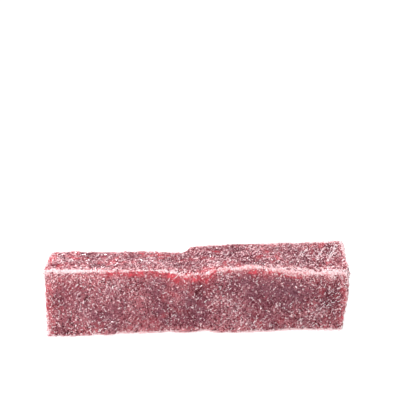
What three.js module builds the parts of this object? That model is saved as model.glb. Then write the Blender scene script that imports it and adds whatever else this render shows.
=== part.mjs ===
// A sugared hawthorn fruit strip: a finger-long bar sliced from a slab of dried fruit paste,
// lying on one of its narrow sides. Millimetres. +X runs along the bar, +Y from its front
// face to its back face and +Z up. The origin is in the middle of the flat underside.
import * as THREE from "three";
import { mergeVertices } from "three/addons/utils/BufferGeometryUtils.js";

// Driving dimensions of the bar before the knife and the press made it uneven
const LENGTH = 70.6;
const DEPTH = 13.2;
const HEIGHT = 17;

// Cells of the surface grid along X, Y and Z, how strongly they crowd towards the edges, and
// how far from the middle they still bend to run along the trough
const CELLS = { x: 68, y: 12, z: 15 };
const CROWDING = 0.7;
const GRID_BEND_REACH = 14;

// Edge rounding: the usual radius, and what the worn front corner of the right end adds
const EDGE_RADIUS = 0.75;
const WORN_EDGE = { from: 12, to: 33, extra: 1.35 };

// The bar is twisted along its length, and the cut at its right end leans
const TWIST = 0.8;
const RIGHT_LEAN = { amount: 1.2, power: 4 };

// A trough pressed across the top. Its steep right side stands askew from the front edge to
// the back edge, its floor is level for a while and it fades to the left. Next to it on the
// right the top swells.
const TROUGH = {
  front: { x: 3, rise: 3.2, drop: 1.35, floor: 4.5, fade: 5 },
  back: { x: -2.2, rise: 3.2, drop: 1.6, floor: 0, fade: 15 },
};
const SWELLING = { x: 12.5, reach: 8, front: 0.75, back: 0.5 };

// How far the front face is drawn in below the trough, and the back face by a thumb's press
const FRONT_WAIST = { x: -1, z: 16.7, depth: 0.55, reachX: 5.5, reachZ: 5 };
const BACK_PRESS = { x: 9, z: 9, depth: 0.8, reachX: 11, reachZ: 6.5 };

// Nicks along the bottom edges, where the paste tore and stands clear of the table
const NICK_REACH = 2.3;
const FRONT_NICKS = [
  { x: -23.4, lift: 0.3, reach: 1.5 },
  { x: -17.9, lift: 0.4, reach: 1.6 },
  { x: -11, lift: 0.45, reach: 8 },
  { x: -6.9, lift: 0.3, reach: 1.8 },
  { x: 1.4, lift: 0.75, reach: 2.6 },
  { x: 23, lift: 0.38, reach: 7 },
];
const BACK_NICKS = [
  { x: -24, lift: 0.7, reach: 2.6 },
  { x: -8.5, lift: 0.45, reach: 1.8 },
  { x: 15, lift: 0.75, reach: 3.1 },
];

// The knife left the end faces hollow. Where the cut broke off at the bottom, the left end
// has a lip and the right end is chipped. A high power keeps this to the very end.
const END_HOLLOW = 0.45;
const END_POWER = 24;
const END_FOOT = { height: 2.4, left: 0.35, right: -0.45 };

// Uneven surface: lumps of several sizes, and the place in the endless noise they come from
const LUMPS = [
  { spacing: 11, rise: 0.34 },
  { spacing: 4.3, rise: 0.2 },
  { spacing: 1.9, rise: 0.13 },
];
const NOISE_PLACE = new THREE.Vector3(40, 40, 40);

const clamp = THREE.MathUtils.clamp;
const lerp = THREE.MathUtils.lerp;
const smoothstep = THREE.MathUtils.smoothstep;

// A bell: 1 at the middle, falling to about a third at one reach from it
const bell = (offset, reach) => Math.exp(-((offset / reach) ** 2));

// A repeatable number from 0 to 1 for each corner of a cubic lattice
function latticeValue(i, j, k) {
  const s = Math.sin(i * 127.1 + j * 311.7 + k * 74.7) * 43758.5453;
  return s - Math.floor(s);
}

// Smooth noise from -1 to 1: lattice values blended across the cell that holds the point
function smoothNoise(x, y, z) {
  const cell = [x, y, z].map(Math.floor);
  const [u, v, w] = [x, y, z].map((c, axis) => smoothstep(c - cell[axis], 0, 1));
  const corner = (a, b, c) => latticeValue(cell[0] + a, cell[1] + b, cell[2] + c);
  const row = (b, c) => lerp(corner(0, b, c), corner(1, b, c), u);
  const level = (c) => lerp(row(0, c), row(1, c), v);
  return 2 * lerp(level(0), level(1), w) - 1;
}

// Height of the uneven surface over the plain bar
function lumpiness(p) {
  let height = 0;
  for (const { spacing, rise } of LUMPS) {
    height += rise * smoothNoise(...p.clone().divideScalar(spacing).add(NOISE_PLACE));
  }
  return height;
}

// Radius of the edge nearest to a point of the plain bar
function edgeRadius(p) {
  const atTopFront = smoothstep(-p.y, 0, DEPTH / 2) * smoothstep(p.z, HEIGHT / 2, HEIGHT);
  const worn = smoothstep(p.x, WORN_EDGE.from, WORN_EDGE.to) * WORN_EDGE.extra;
  return EDGE_RADIUS + atTopFront * worn;
}

// Moves a point of the plain bar onto the bar with round edges, and finds the normal there
function roundEdges(p) {
  const r = edgeRadius(p);
  const inner = new THREE.Vector3(
    clamp(p.x, r - LENGTH / 2, LENGTH / 2 - r),
    clamp(p.y, r - DEPTH / 2, DEPTH / 2 - r),
    clamp(p.z, r, HEIGHT - r),
  );
  const normal = p.clone().sub(inner).normalize();
  return { point: inner.addScaledVector(normal, r), normal };
}

// How far the top sinks at a place, in the trough
function troughDrop(x, y) {
  const here = (key) => lerp(TROUGH.front[key], TROUGH.back[key], y / DEPTH + 0.5);
  const left = here("x") - x;
  const half = here("rise") / 2;
  const fading = bell(Math.max(left - here("floor"), 0), here("fade"));
  return here("drop") * smoothstep(left, -half, half) * fading;
}

// How far the top moves up or down at a place
function topShift(x, y) {
  const twist = TWIST * (x / (LENGTH / 2)) * (y / (DEPTH / 2));
  const swollen = lerp(SWELLING.front, SWELLING.back, y / DEPTH + 0.5);
  return twist + swollen * bell(x - SWELLING.x, SWELLING.reach) - troughDrop(x, y);
}

// How far a hollow in the front or back face draws the surface in
function hollow(spot, x, z) {
  return spot.depth * bell(x - spot.x, spot.reachX) * bell(z - spot.z, spot.reachZ);
}

// How far the nicks along one bottom edge lift the surface
function nickLift(nicks, x, z, fromEdge) {
  const near = 1 - smoothstep(fromEdge, 0, NICK_REACH);
  const low = 1 - smoothstep(z, 0, 3 * NICK_REACH);
  const lift = nicks.reduce((sum, nick) => sum + nick.lift * bell(x - nick.x, nick.reach), 0);
  return lift * near * low;
}

// How far an end face moves outwards: hollow in the middle, uneven at the bottom
function endShift(x, y, z) {
  const across = 1 - (y / (DEPTH / 2)) ** 2;
  const up = 1 - ((z - HEIGHT / 2) / (HEIGHT / 2)) ** 2;
  const foot = (x < 0 ? END_FOOT.left : END_FOOT.right) * (1 - smoothstep(z, 0, END_FOOT.height));
  return foot - END_HOLLOW * Math.max(across, 0) * Math.max(up, 0);
}

// The whole shape: where a point of the plain bar lies on the real one
function shape(p) {
  const { point, normal } = roundEdges(p);
  const { x, y, z } = point;
  const offTheTable = clamp(1 + normal.z, 0, 1);
  const moved = point.clone().addScaledVector(normal, lumpiness(p) * offTheTable);

  const up = clamp(z / HEIGHT, 0, 1);
  const atFront = clamp(0.5 - y / DEPTH, 0, 1) ** 2;
  const atBack = clamp(0.5 + y / DEPTH, 0, 1) ** 2;
  const endward = (2 * x) / LENGTH;

  moved.x += RIGHT_LEAN.amount * (up - 0.5) * clamp(endward, 0, 1) ** RIGHT_LEAN.power;
  moved.x += Math.sign(x) * endShift(x, y, z) * Math.abs(endward) ** END_POWER;
  moved.y += hollow(FRONT_WAIST, x, z) * atFront - hollow(BACK_PRESS, x, z) * atBack;
  moved.z += topShift(x, y) * up ** 2;
  moved.z += nickLift(FRONT_NICKS, x, z, y + DEPTH / 2);
  moved.z += nickLift(BACK_NICKS, x, z, DEPTH / 2 - y);
  moved.z = Math.max(moved.z, 0);
  return moved;
}

// Crowds evenly spaced grid lines towards both ends of their run
function crowd(value, run) {
  const t = value / (run / 2);
  const crowded = 1.5 * t - 0.5 * t ** 3;
  return (run / 2) * lerp(t, crowded, CROWDING);
}

// How far the grid lines shift along the bar, so that those near the trough run along it
function alongTrough(x, y) {
  const askew = TROUGH.back.x - TROUGH.front.x;
  return askew * (y / DEPTH) * bell(x, GRID_BEND_REACH);
}

function stripGeometry() {
  const box = new THREE.BoxGeometry(LENGTH, DEPTH, HEIGHT, CELLS.x, CELLS.y, CELLS.z);
  box.deleteAttribute("normal");
  box.deleteAttribute("uv");
  const geometry = mergeVertices(box);
  geometry.clearGroups();

  const position = geometry.getAttribute("position");
  const p = new THREE.Vector3();
  for (let i = 0; i < position.count; i++) {
    p.fromBufferAttribute(position, i);
    p.set(crowd(p.x, LENGTH), crowd(p.y, DEPTH), crowd(p.z, HEIGHT) + HEIGHT / 2);
    p.x += alongTrough(p.x, p.y);
    position.setXYZ(i, ...shape(p));
  }

  // The origin goes to the middle of the underside of the finished shape
  geometry.computeBoundingBox();
  const centre = geometry.boundingBox.getCenter(new THREE.Vector3());
  geometry.translate(-centre.x, -centre.y, -geometry.boundingBox.min.z);
  geometry.computeVertexNormals();
  return geometry;
}

const sugaredPaste = new THREE.MeshStandardMaterial({
  color: 0x9c5f6c,
  roughness: 0.8,
  metalness: 0,
});

const strip = new THREE.Mesh(stripGeometry(), sugaredPaste);
strip.name = "strip";

const fruitStrip = new THREE.Group();
fruitStrip.name = "hawthorn_fruit_strip";
fruitStrip.add(strip);

export default fruitStrip;
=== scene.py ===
"""Looks of a sugared hawthorn fruit strip: dark red fruit paste under a coat of sugar.

The paste is one closed surface with the bar's true form. The sugar on it is scattered as
meshes, one for each kind of grain: dust, grit, crystals and coarse crystals all over, needles
in streaks, and the crust that gathers along the edges. Lengths are millimetres until a mesh is
made, and metres in Blender. Left, right, front and back are as the camera sees the strip.
"""

import logging
import math
from dataclasses import dataclass
from enum import Enum
from itertools import product

import bpy
import numpy as np
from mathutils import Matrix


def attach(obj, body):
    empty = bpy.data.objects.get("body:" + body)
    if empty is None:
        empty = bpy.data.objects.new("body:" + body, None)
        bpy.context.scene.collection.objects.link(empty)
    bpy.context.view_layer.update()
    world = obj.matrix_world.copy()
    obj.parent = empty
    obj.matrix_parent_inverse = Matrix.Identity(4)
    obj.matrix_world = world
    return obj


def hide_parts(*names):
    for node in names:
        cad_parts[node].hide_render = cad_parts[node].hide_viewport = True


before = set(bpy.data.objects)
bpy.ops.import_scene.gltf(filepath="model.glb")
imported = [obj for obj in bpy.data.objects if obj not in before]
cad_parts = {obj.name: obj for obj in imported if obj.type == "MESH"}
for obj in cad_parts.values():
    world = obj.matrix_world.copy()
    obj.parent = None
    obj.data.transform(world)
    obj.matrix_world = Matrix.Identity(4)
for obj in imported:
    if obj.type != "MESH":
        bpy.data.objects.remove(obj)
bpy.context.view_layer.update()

Array = np.ndarray
Numbers = float | np.ndarray
Socket = bpy.types.NodeSocket
Colour = tuple[float, float, float, float]
Place = tuple[float, float, float]
Pair = tuple[float, float]

MM = 0.001
TINY = 1e-12
log = logging.getLogger("hawthorn_fruit_strip")

# The noise's random values are the fractions of a large sine of the lattice numbers.
SCRAMBLE_STEPS = (127.1, 311.7, 74.7)
SCRAMBLE_SIZE = 43758.5453


def mix(low: Numbers, high: Numbers, share: Array) -> Array:
    """Straight line from low, at a share of 0, to high, at a share of 1."""
    return low + (high - low) * share


def smoothstep(value: Array, low: float, high: float) -> Array:
    """Rises from 0 at low to 1 at high as 3 t^2 - 2 t^3."""
    t = np.clip((value - low) / (high - low), 0, 1)
    return t * t * (3 - 2 * t)


def bell(offset: Array, reach: Numbers) -> Array:
    """exp(-(offset / reach)^2): 1 in the middle, about a third at one reach."""
    return np.exp(-((offset / reach) ** 2))


def fading(distance: Array, start: Numbers, reach: Numbers) -> Array:
    """1 up to start, and a bell of the distance past it."""
    return bell(np.maximum(distance - start, 0), reach)


def unit(vectors: Array) -> Array:
    """Each row divided by its length."""
    return vectors / np.maximum(np.linalg.norm(vectors, axis=1, keepdims=True), TINY)


def smooth_noise(points: Array, spacing: float, place: float) -> Array:
    """Smooth noise from -1 to 1: random values on a cubic lattice, blended inside each cell.

    Args:
        points: Places in space, one a row.
        spacing: Distance between the lattice's points.
        place: Where in the endless noise the origin lies, in lattice steps.

    Returns:
        One value for each row.
    """
    at = points / spacing + place
    cell = np.floor(at)
    share = smoothstep(at - cell, 0, 1)

    def corner(a: int, b: int, c: int) -> Array:
        """Random value from 0 to 1 at one corner of each point's cell."""
        s = np.sin((cell + (a, b, c)) @ SCRAMBLE_STEPS) * SCRAMBLE_SIZE
        return s - np.floor(s)

    def row(b: int, c: int) -> Array:
        """Blend along the cell's first direction."""
        return mix(corner(0, b, c), corner(1, b, c), share[:, 0])

    def level(c: int) -> Array:
        """Blend along the cell's second direction."""
        return mix(row(0, c), row(1, c), share[:, 1])

    return 2 * mix(level(0), level(1), share[:, 2]) - 1


@dataclass(frozen=True)
class Unevenness:
    """A height or strength that varies over a surface: a mean and layers of smooth noise.

    Attributes:
        mean: Its value where the noise is 0.
        layers: Weight, spacing and place in the noise of each layer.
        least: Smallest value that it may have.
        most: Largest value.
    """

    mean: float
    layers: tuple[tuple[float, float, float], ...]
    least: float = -math.inf
    most: float = math.inf

    def over(self, points: Array) -> Array:
        """Value at each point: the mean and every layer's weight times its noise, in limits."""
        layers = (weight * smooth_noise(points, *layer) for weight, *layer in self.layers)
        return np.clip(sum(layers, self.mean), self.least, self.most)


@dataclass(frozen=True)
class Stretch:
    """A stretch along the bar where something is raised or stronger, by a bell round x."""

    x: float
    amount: float
    reach: float

    def at(self, x: Array) -> Array:
        """Amount at each place along the bar."""
        return self.amount * bell(x - self.x, self.reach)


@dataclass(frozen=True)
class TroughEdge:
    """The trough across the top where it meets one long edge.

    Attributes:
        x: Middle of its steep right side.
        rise: Length of that side.
        drop: Depth.
        floor: How far left of x its floor is flat.
        fade: Reach of the bell by which its left side rises.
    """

    x: float
    rise: float
    drop: float
    floor: float
    fade: float


@dataclass(frozen=True)
class Hollow:
    """A shallow hollow in a long face."""

    x: float
    z: float
    depth: float
    reach_x: float
    reach_z: float

    def depth_at(self, x: Array, z: Array) -> Array:
        """Product of two bells, one along the bar and one up it."""
        return self.depth * bell(x - self.x, self.reach_x) * bell(z - self.z, self.reach_z)


@dataclass
class Surface:
    """A surface of four-sided faces, with what the scatter and the finishes need to know.

    Attributes:
        points: Place of each vertex, in millimetres.
        quads: Vertex numbers of each face.
        plain: Place of each vertex on the plain bar, before it was shaped.
        outward: Outward direction of the plain bar with round edges at each vertex.
        to_edge: Distance to the nearest long or short edge of the plain bar.
    """

    points: Array
    quads: Array
    plain: Array
    outward: Array
    to_edge: Array

    def triangles(self) -> Array:
        """Each face cut in two along its first diagonal."""
        return np.concatenate([self.quads[:, [0, 1, 2]], self.quads[:, [0, 2, 3]]])

    def normals(self) -> Array:
        """Unit sum of the normals of the triangles round each vertex, weighed by area.

        Returns:
            One unit direction for each vertex.
        """
        corners = self.triangles()
        a, b, c = (self.points[corners[:, k]] for k in range(3))
        across = np.cross(b - a, c - a)
        count = len(self.points)
        sums = [
            sum(np.bincount(corners[:, k], across[:, axis], count) for k in range(3))
            for axis in range(3)
        ]
        return unit(np.stack(sums, 1))


@dataclass
class BarShape:
    """The bar's form, by the same sizes and formulas as the solid that it stands for.

    Attributes:
        crowding: How far the grid lines are drawn towards the edges, from 0 to 1.
        grid_bend_reach: How far along the bar the grid lines follow the trough's slant.
        worn_from: Where the top front edge starts to be more worn, to the right of the middle.
        worn_extra: How much its radius grows by worn_to.
        twist: How much one top edge rises and the other sinks at each end.
        right_lean: How far the right end's top leans out past its foot.
        nick_reach: How far in from its edge a nick's lift fades, and how far up it does as a
            multiple of that, nick_height.
        end_power: How close to the ends their hollow and foot stay.
        end_foot_left: How far the left end's foot stands out, and end_foot_right the right's.
        lumps: The lumps all over it.
    """

    length: float = 70.6
    depth: float = 13.2
    height: float = 17.0
    crowding: float = 0.7
    grid_bend_reach: float = 14.0
    edge_radius: float = 0.75
    worn_from: float = 12.0
    worn_to: float = 33.0
    worn_extra: float = 1.35
    twist: float = 0.8
    right_lean: float = 1.2
    right_lean_power: float = 4.0
    trough_front: TroughEdge = TroughEdge(x=3.0, rise=3.2, drop=1.35, floor=4.5, fade=5.0)
    trough_back: TroughEdge = TroughEdge(x=-2.2, rise=3.2, drop=1.6, floor=0.0, fade=15.0)
    swelling_x: float = 12.5
    swelling_reach: float = 8.0
    swelling_front: float = 0.75
    swelling_back: float = 0.5
    front_waist: Hollow = Hollow(x=-1.0, z=16.7, depth=0.55, reach_x=5.5, reach_z=5.0)
    back_press: Hollow = Hollow(x=9.0, z=9.0, depth=0.8, reach_x=11.0, reach_z=6.5)
    nick_reach: float = 2.3
    nick_height: float = 3.0
    front_nicks: tuple[Stretch, ...] = (
        Stretch(-23.4, 0.3, 1.5),
        Stretch(-17.9, 0.4, 1.6),
        Stretch(-11.0, 0.45, 8.0),
        Stretch(-6.9, 0.3, 1.8),
        Stretch(1.4, 0.75, 2.6),
        Stretch(23.0, 0.38, 7.0),
    )
    back_nicks: tuple[Stretch, ...] = (
        Stretch(-24.0, 0.7, 2.6),
        Stretch(-8.5, 0.45, 1.8),
        Stretch(15.0, 0.75, 3.1),
    )
    end_hollow: float = 0.45
    end_power: float = 24.0
    end_foot_height: float = 2.4
    end_foot_left: float = 0.35
    end_foot_right: float = -0.45
    lumps: Unevenness = Unevenness(0.0, ((0.34, 11.0, 40), (0.2, 4.3, 40), (0.13, 1.9, 40)))

    def crowd(self, value: Array, run: float) -> Array:
        """Grid lines from -run/2 to run/2, drawn towards both ends: mix of t and 1.5t - 0.5t^3."""
        t = value / (run / 2)
        return run / 2 * mix(t, 1.5 * t - 0.5 * t**3, self.crowding)

    def lattice(self, cells: tuple[int, int, int]) -> tuple[Array, Array]:
        """Whole-number grid on the six faces of a box, with the shared edges merged.

        Args:
            cells: Number of cells along X, Y and Z.

        Returns:
            The vertices' grid numbers, and the faces with their corners turned outwards.
        """
        low_ring = ((0, 0), (0, 1), (1, 1), (1, 0))
        high_ring = ((0, 0), (1, 0), (1, 1), (0, 1))
        numbers = []
        for axis in range(3):
            u_axis, v_axis = (axis + 1) % 3, (axis + 2) % 3
            u, v = np.meshgrid(np.arange(cells[u_axis]), np.arange(cells[v_axis]), indexing="ij")
            for side, ring in enumerate((low_ring, high_ring)):
                face = np.zeros((u.size, 4, 3), int)
                face[:, :, axis] = side * cells[axis]
                for k, (du, dv) in enumerate(ring):
                    face[:, k, u_axis] = u.ravel() + du
                    face[:, k, v_axis] = v.ravel() + dv
                numbers.append(face)
        corners = np.concatenate(numbers).reshape(-1, 3)
        vertices, index = np.unique(corners, axis=0, return_inverse=True)
        return vertices, index.reshape(-1, 4)

    def edge_radius_at(self, p: Array) -> Array:
        """Usual radius, and more at the top front towards the right end, by smooth steps.

        Args:
            p: Points of the plain bar.

        Returns:
            Radius of the rounding at each point.
        """
        at_front = smoothstep(-p[:, 1], 0, self.depth / 2)
        at_top = smoothstep(p[:, 2], self.height / 2, self.height)
        worn = smoothstep(p[:, 0], self.worn_from, self.worn_to) * self.worn_extra
        return self.edge_radius + at_front * at_top * worn

    def round_edges(self, p: Array) -> tuple[Array, Array]:
        """Points on the bar with round edges, and the outward direction there.

        A point goes to the nearest place of the box that is one radius smaller all round,
        and from there one radius back out.

        Args:
            p: Points of the plain bar.

        Returns:
            The moved points and their outward directions.
        """
        r = self.edge_radius_at(p)
        half = np.stack([self.length / 2 - r, self.depth / 2 - r], 1)
        inner = np.column_stack(
            [np.clip(p[:, :2], -half, half), np.clip(p[:, 2], r, self.height - r)]
        )
        outward = unit(p - inner)
        return inner + outward * r[:, None], outward

    def trough_drop(self, x: Array, y: Array) -> Array:
        """Depth of the trough: a smooth step on its right side times a bell on its left.

        Args:
            x: Place of each point along the bar.
            y: Its place across the bar.

        Returns:
            How far the top sinks there.
        """
        across = y / self.depth + 0.5

        def here(key: str) -> Array:
            """A size of the trough between its front and back edge."""
            return mix(getattr(self.trough_front, key), getattr(self.trough_back, key), across)

        left = here("x") - x
        half = here("rise") / 2
        step = smoothstep((left + half) / (2 * half), 0, 1)
        return here("drop") * step * fading(left, here("floor"), here("fade"))

    def top_shift(self, x: Array, y: Array) -> Array:
        """How far the top moves up: the twist, x times y, the swelling and the trough.

        Args:
            x: Place of each point along the bar.
            y: Its place across the bar.

        Returns:
            Way up of each point of the top.
        """
        twist = self.twist * (x / (self.length / 2)) * (y / (self.depth / 2))
        swollen = mix(self.swelling_front, self.swelling_back, y / self.depth + 0.5)
        bump = swollen * bell(x - self.swelling_x, self.swelling_reach)
        return twist + bump - self.trough_drop(x, y)

    def nick_lift(self, nicks: tuple[Stretch, ...], x: Array, z: Array, from_edge: Array) -> Array:
        """How far a torn edge is lifted: the nicks' sum, fading inwards and upwards.

        Args:
            nicks: The torn places of one bottom edge.
            x: Place of each point along the bar.
            z: Its height.
            from_edge: How far it lies in from that edge.

        Returns:
            How far each point is lifted.
        """
        near = 1 - smoothstep(from_edge, 0, self.nick_reach)
        low = 1 - smoothstep(z, 0, self.nick_height * self.nick_reach)
        return sum(nick.at(x) for nick in nicks) * near * low

    def end_shift(self, x: Array, y: Array, z: Array) -> Array:
        """How far an end face moves out: a paraboloid hollow, and a foot at the bottom.

        Args:
            x: Place of each point along the bar.
            y: Its place across the bar.
            z: Its height.

        Returns:
            Way out of each point, if it lies on an end.
        """
        across = np.maximum(1 - (y / (self.depth / 2)) ** 2, 0)
        up = np.maximum(1 - ((z - self.height / 2) / (self.height / 2)) ** 2, 0)
        foot = np.where(x < 0, self.end_foot_left, self.end_foot_right)
        return foot * (1 - smoothstep(z, 0, self.end_foot_height)) - self.end_hollow * across * up

    def shaped(self, p: Array) -> tuple[Array, Array]:
        """Points of the plain bar moved to where they lie on the real one.

        A long face's hollow grows with the square of the distance from the opposite face, and
        the top's shift with the square of the height.

        Args:
            p: Points of the plain bar.

        Returns:
            The moved points, and the outward direction of the bar with round edges.
        """
        rounded, outward = self.round_edges(p)
        x, y, z = rounded.T
        off_the_table = np.clip(1 + outward[:, 2], 0, 1)
        moved = rounded + outward * (self.lumps.over(p) * off_the_table)[:, None]

        up = np.clip(z / self.height, 0, 1)
        at_front = np.clip(0.5 - y / self.depth, 0, 1) ** 2
        at_back = np.clip(0.5 + y / self.depth, 0, 1) ** 2
        endward = 2 * x / self.length
        lean = self.right_lean * np.clip(endward, 0, 1) ** self.right_lean_power
        moved[:, 0] += lean * (up - 0.5)
        moved[:, 0] += np.sign(x) * self.end_shift(x, y, z) * np.abs(endward) ** self.end_power
        moved[:, 1] += self.front_waist.depth_at(x, z) * at_front
        moved[:, 1] -= self.back_press.depth_at(x, z) * at_back
        moved[:, 2] += self.top_shift(x, y) * up**2
        moved[:, 2] += self.nick_lift(self.front_nicks, x, z, y + self.depth / 2)
        moved[:, 2] += self.nick_lift(self.back_nicks, x, z, self.depth / 2 - y)
        moved[:, 2] = np.maximum(moved[:, 2], 0)
        return moved, outward

    def edge_distance(self, p: Array) -> Array:
        """Second smallest of the distances to the ends, the long faces, and top or bottom.

        Args:
            p: Points of the plain bar.

        Returns:
            Distance of each point to the nearest edge.
        """
        to_end = self.length / 2 - np.abs(p[:, 0])
        to_side = self.depth / 2 - np.abs(p[:, 1])
        to_flat = np.minimum(p[:, 2], self.height - p[:, 2])
        return np.sort(np.stack([to_end, to_side, to_flat], 1), axis=1)[:, 1]

    def surface(self, cells: tuple[int, int, int]) -> Surface:
        """The whole bar, centred over the origin with its underside at height 0.

        Args:
            cells: Number of cells along X, Y and Z.

        Returns:
            The surface.
        """
        numbers, quads = self.lattice(cells)
        run = np.array([self.length, self.depth, self.height])
        even = (numbers / np.array(cells) - 0.5) * run
        plain = np.stack([self.crowd(even[:, k], run[k]) for k in range(3)], 1)
        plain[:, 2] += self.height / 2
        askew = self.trough_back.x - self.trough_front.x
        bend = bell(plain[:, 0], self.grid_bend_reach)
        plain[:, 0] += askew * plain[:, 1] / self.depth * bend
        points, outward = self.shaped(plain)
        low, high = points.min(0), points.max(0)
        points -= ((low[0] + high[0]) / 2, (low[1] + high[1]) / 2, low[2])
        return Surface(points, quads, plain, outward, self.edge_distance(plain))


def add_mesh(
    name: str, points: Array, faces: Array, values: dict[str, Array], smooth: bool
) -> bpy.types.Object:
    """Makes an object at the origin from whole arrays.

    Args:
        name: The piece's name.
        points: Vertices in millimetres.
        faces: Vertex numbers, the same number of corners for every face.
        values: Numbers for each vertex, which the finishes read by name.
        smooth: Whether the faces are shaded as one smooth surface.

    Returns:
        The linked object.
    """
    count, corners = faces.shape
    mesh = bpy.data.meshes.new(name)
    mesh.vertices.add(len(points))
    mesh.vertices.foreach_set("co", (points * MM).astype(np.float32).ravel())
    mesh.loops.add(count * corners)
    mesh.loops.foreach_set("vertex_index", faces.astype(np.int32).ravel())
    mesh.polygons.add(count)
    mesh.polygons.foreach_set("loop_start", np.arange(0, count * corners, corners, dtype=np.int32))
    mesh.polygons.foreach_set("use_smooth", np.full(count, smooth))
    for key, numbers in values.items():
        layer = mesh.attributes.new(key, "FLOAT", "POINT")
        layer.data.foreach_set("value", numbers.astype(np.float32))
    mesh.update(calc_edges=True)
    mesh.validate()
    piece = bpy.data.objects.new(name, mesh)
    bpy.context.scene.collection.objects.link(piece)
    return piece


class Wiring:
    """Adds nodes to a node tree and links them, so that a finish reads as a list of steps."""

    def __init__(self, tree: bpy.types.NodeTree) -> None:
        """Starts with an empty tree."""
        self.tree = tree
        tree.nodes.clear()

    def add(
        self, kind: str, inputs: dict[str | int, object] | None = None, **settings: object
    ) -> bpy.types.Node:
        """Adds a node.

        Args:
            kind: Blender's name for the kind of node.
            inputs: What goes into its sockets, each another node's socket or a plain value.
            settings: Its properties.

        Returns:
            The new node.
        """
        node = self.tree.nodes.new(kind)
        for key, value in settings.items():
            setattr(node, key, value)
        for key, value in (inputs or {}).items():
            if isinstance(value, Socket):
                self.tree.links.new(value, node.inputs[key])
            else:
                node.inputs[key].default_value = value
        return node

    def maths(self, operation: str, *values: object) -> Socket:
        """An operation on up to three values, with its result held between 0 and 1."""
        inputs = dict(enumerate(values))
        return self.add("ShaderNodeMath", inputs, operation=operation, use_clamp=True).outputs[0]

    def blend(self, share: object, low: object, high: object) -> Socket:
        """A colour between low and high: the node's inputs 0, 6 and 7, and its output 2."""
        inputs = {0: share, 6: low, 7: high}
        return self.add("ShaderNodeMix", inputs, data_type="RGBA").outputs[2]

    def ramp(
        self, value: object, low: float, high: float, to: tuple[object, object] = (0, 1)
    ) -> Socket:
        """Adds a smooth step.

        Args:
            value: What the step depends on.
            low: Value at which it starts.
            high: Value at which it ends.
            to: What it runs from and to, each a number or a socket.

        Returns:
            Socket of the result.
        """
        names = ("Value", "From Min", "From Max", "To Min", "To Max")
        inputs = dict(zip(names, (value, low, high, *to)))
        return self.add("ShaderNodeMapRange", inputs, interpolation_type="SMOOTHSTEP").outputs[0]

    def attribute(self, name: str) -> Socket:
        """A number that the mesh holds at each vertex."""
        return self.add("ShaderNodeAttribute", attribute_name=name).outputs["Fac"]

    def place(self) -> Socket:
        """The object's own coordinates."""
        return self.add("ShaderNodeTexCoord").outputs["Object"]

    def noise(self, size: float, detail: float, place: Socket | None = None) -> Socket:
        """Adds noise, which runs from 0 to 1.

        Args:
            size: About how far apart its lumps are, in millimetres.
            detail: How many finer layers it has.
            place: Coordinates to read, if not the object's own.

        Returns:
            Socket of the noise.
        """
        where = self.place() if place is None else place
        inputs = {"Vector": where, "Scale": 1 / (size * MM), "Detail": detail}
        return self.add("ShaderNodeTexNoise", inputs).outputs["Fac"]


class MaterialWiring(Wiring):
    """The wiring of one new material, which ends in a Principled BSDF."""

    def __init__(self, name: str) -> None:
        """Starts a node material without nodes.

        Args:
            name: The material's name.
        """
        self.material = bpy.data.materials.new(name)
        self.material.use_nodes = True
        super().__init__(self.material.node_tree)

    def finish(self, inputs: dict[str | int, object]) -> bpy.types.Material:
        """Adds the shader and the output, and hands over the material.

        Args:
            inputs: What goes into the shader's sockets.

        Returns:
            The material.
        """
        shader = self.add("ShaderNodeBsdfPrincipled", inputs)
        self.add("ShaderNodeOutputMaterial", {"Surface": shader.outputs["BSDF"]})
        return self.material


@dataclass(frozen=True)
class Mottling:
    """Shader noise through a smooth step.

    Attributes:
        size: Distance between its lumps, in millimetres.
        detail: How many finer layers it has.
        low: Noise at which the step starts.
        high: Noise at which it ends.
        to: What the step runs from and to.
    """

    size: float
    detail: float
    low: float
    high: float
    to: Pair = (0.0, 1.0)

    def wire(self, wiring: Wiring) -> Socket:
        """Adds its nodes."""
        return wiring.ramp(wiring.noise(self.size, self.detail), self.low, self.high, self.to)


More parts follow.
